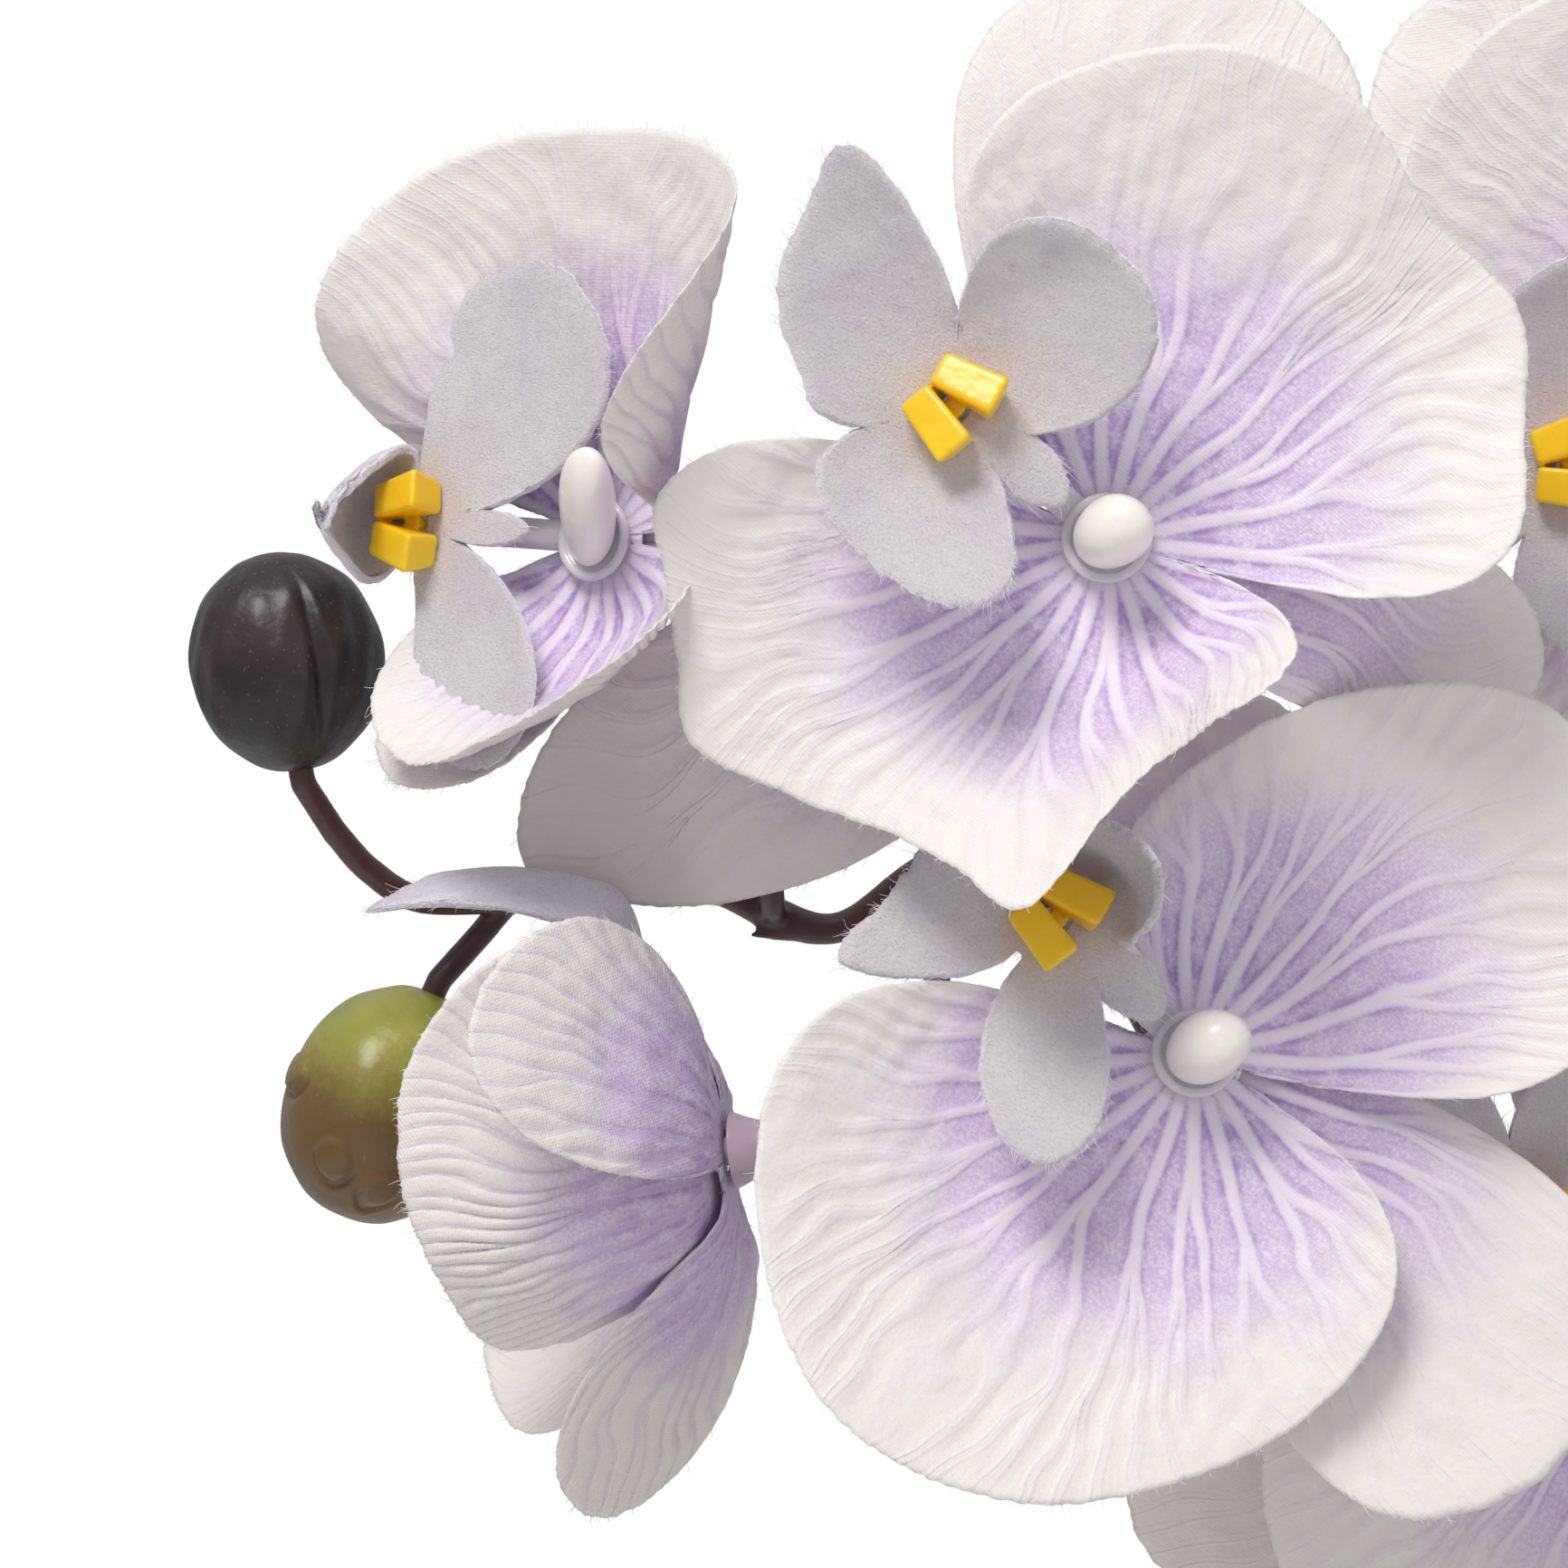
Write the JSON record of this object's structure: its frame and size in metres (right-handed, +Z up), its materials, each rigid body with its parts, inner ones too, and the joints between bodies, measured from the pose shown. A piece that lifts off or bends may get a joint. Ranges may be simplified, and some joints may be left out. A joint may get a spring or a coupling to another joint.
{
  "type": "potted orchid",
  "caption": "Artificial moth orchid in a plain round pot: an arching moulded stem with cloth flowers and buds above strap leaves.",
  "frame": {"origin": "centre of the pot's underside", "axes": "+Z up; the spray arches towards -X and its flowers face about -Y"},
  "size_m": [0.3814, 0.2727, 0.4589],
  "materials": {
    "cloth": "pressed woven cloth, off-white at the edge and lilac in the middle",
    "velvet": "short-pile velvet, pale lilac",
    "white_plastic": "smooth, milky, with a clear flange and arm",
    "yellow_plastic": "smooth",
    "mauve_plastic": "satin",
    "maroon_plastic": "satin",
    "dark_plastic": "satin, finely grooved",
    "olive_plastic": "satin, green at the stalk and brown towards the tip",
    "green_plastic": "satin",
    "bark": "rough chips",
    "set_filler": "set mortar",
    "cream_ceramic": "plain glaze"
  },
  "bodies": {
    "root": {"flower_a_petals": "cloth", "flower_a_sepals": "cloth", "flower_a_lip": "velvet", "flower_a_callus": "yellow_plastic", "flower_a_column": "white_plastic", "flower_a_socket": "mauve_plastic", "flower_b_petals": "cloth", "flower_b_sepals": "cloth", "flower_b_lip": "velvet", "flower_b_callus": "yellow_plastic", "flower_b_column": "white_plastic", "flower_b_socket": "mauve_plastic", "flower_c_petals": "cloth", "flower_c_sepals": "cloth", "flower_c_lip": "velvet", "flower_c_callus": "yellow_plastic", "flower_c_column": "white_plastic", "flower_c_socket": "mauve_plastic", "flower_d_petals": "cloth", "flower_d_sepals": "cloth", "flower_d_lip": "velvet", "flower_d_callus": "yellow_plastic", "flower_d_column": "white_plastic", "flower_d_socket": "mauve_plastic", "flower_e_petals": "cloth", "flower_e_sepals": "cloth", "flower_e_lip": "velvet", "flower_e_callus": "yellow_plastic", "flower_e_column": "white_plastic", "flower_e_socket": "mauve_plastic", "flower_f_petals": "cloth", "flower_f_sepals": "cloth", "flower_f_lip": "velvet", "flower_f_callus": "yellow_plastic", "flower_f_column": "white_plastic", "flower_f_socket": "mauve_plastic", "flower_g_petals": "cloth", "flower_g_sepals": "cloth", "flower_g_lip": "velvet", "flower_g_callus": "yellow_plastic", "flower_g_column": "white_plastic", "flower_g_socket": "mauve_plastic", "flower_h_petals": "cloth", "flower_h_sepals": "cloth", "flower_h_lip": "velvet", "flower_h_callus": "yellow_plastic", "flower_h_column": "white_plastic", "flower_h_socket": "mauve_plastic", "main_stem": "maroon_plastic", "bud_upper": "dark_plastic", "bud_lower": "olive_plastic", "pot": "cream_ceramic", "pot_filler": "set_filler", "bark_topping": "bark", "leaf_crown": "green_plastic", "leaf_1": "green_plastic", "leaf_2": "green_plastic", "leaf_3": "green_plastic", "leaf_4": "green_plastic", "leaf_5": "green_plastic"}
  },
  "joints": []
}
